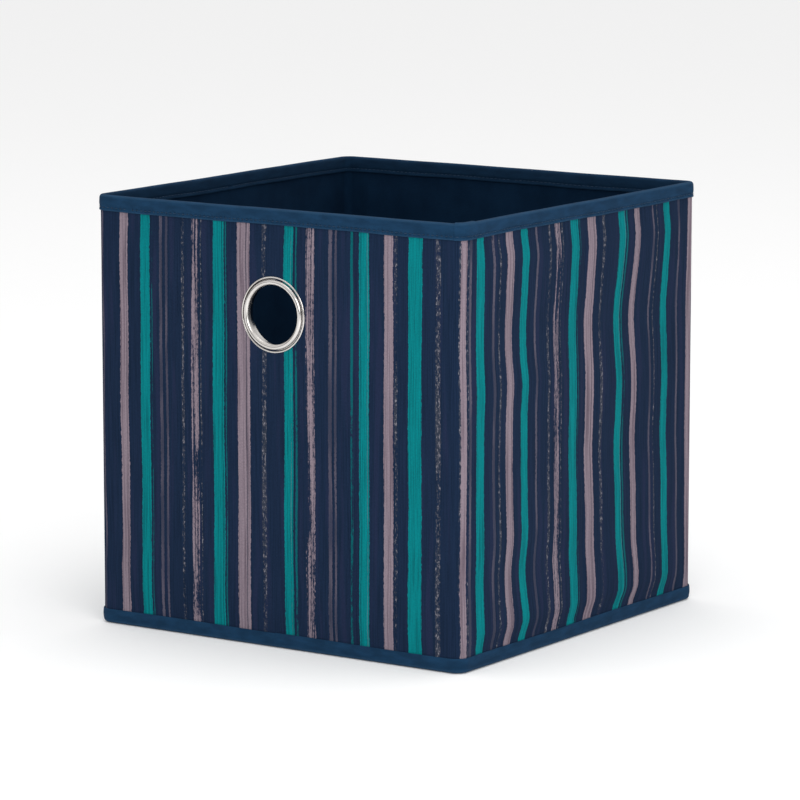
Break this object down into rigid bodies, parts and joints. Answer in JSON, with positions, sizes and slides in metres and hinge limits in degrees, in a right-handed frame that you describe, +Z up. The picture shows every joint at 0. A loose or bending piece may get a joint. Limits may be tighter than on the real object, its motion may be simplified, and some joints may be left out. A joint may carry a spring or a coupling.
{
  "type": "fabric storage bin",
  "caption": "Collapsible open-top cube bin of striped cloth over boards, with blue bound edges, a bright finger ring in the front and a loose base.",
  "frame": {"origin": "centre of the underside, where the bin stands", "axes": "+Z up through the open top, -Y out of the front wall that has the finger ring, +X to the right seen from the front"},
  "size_m": [0.28, 0.282, 0.277],
  "materials": {
    "printed_cloth": "matt navy non-woven cloth printed with teal and mauve vertical stripes",
    "lining_cloth": "matt dark navy non-woven cloth",
    "binding_tape": "matt blue woven tape with a stitched edge",
    "chipboard": "raw grey-brown board",
    "bright_ring": "polished bright plating"
  },
  "bodies": {
    "front": {"front_cover": "printed_cloth", "front_board": "chipboard", "front_lining": "lining_cloth", "front_rim_binding": "binding_tape", "bottom_binding": "binding_tape", "bottom_cloth": "lining_cloth", "grommet_face_ring": "bright_ring", "grommet_back_ring": "bright_ring"},
    "right_front": {"right_front_cover": "printed_cloth", "right_front_board": "chipboard", "right_front_lining": "lining_cloth", "right_front_rim_binding": "binding_tape"},
    "right_rear": {"right_rear_cover": "printed_cloth", "right_rear_board": "chipboard", "right_rear_lining": "lining_cloth", "right_rear_rim_binding": "binding_tape"},
    "back": {"back_cover": "printed_cloth", "back_board": "chipboard", "back_lining": "lining_cloth", "back_rim_binding": "binding_tape"},
    "left_front": {"left_front_cover": "printed_cloth", "left_front_board": "chipboard", "left_front_lining": "lining_cloth", "left_front_rim_binding": "binding_tape"},
    "left_rear": {"left_rear_cover": "printed_cloth", "left_rear_board": "chipboard", "left_rear_lining": "lining_cloth", "left_rear_rim_binding": "binding_tape"},
    "insert": {"insert_board": "chipboard", "insert_top_cloth": "lining_cloth", "insert_under_cloth": "lining_cloth"}
  },
  "joints": [
    {"name": "wall_fold", "type": "hinge", "parent": "front", "child": "right_front", "pos_m": [0.1352, -0.1352, 0.14], "axis": [0, 0, 1], "range_deg": [0, 80], "deforming": ["bottom_binding", "bottom_cloth"]},
    {"name": "right_crease", "type": "hinge", "parent": "right_front", "child": "right_rear", "pos_m": [0.14, 0, 0.14], "axis": [0, 0, 1], "range_deg": [-160, 0]},
    {"name": "back_right_corner", "type": "hinge", "parent": "right_rear", "child": "back", "pos_m": [0.1352, 0.1352, 0.14], "axis": [0, 0, 1], "range_deg": [0, 80]},
    {"name": "front_left_corner", "type": "hinge", "parent": "front", "child": "left_front", "pos_m": [-0.1352, -0.1352, 0.14], "axis": [0, 0, 1], "range_deg": [-80, 0]},
    {"name": "back_left_corner", "type": "hinge", "parent": "back", "child": "left_rear", "pos_m": [-0.1352, 0.1352, 0.14], "axis": [0, 0, 1], "range_deg": [0, 80]},
    {"name": "insert_lift", "type": "slide", "parent": "front", "child": "insert", "axis": [0, 0, 1], "range_m": [0, 0.3]}
  ],
  "couplings": [
    {"joint": "right_crease", "follows": "wall_fold", "ratio": -2},
    {"joint": "back_right_corner", "follows": "wall_fold", "ratio": 1},
    {"joint": "front_left_corner", "follows": "wall_fold", "ratio": -1},
    {"joint": "back_left_corner", "follows": "wall_fold", "ratio": 1}
  ]
}
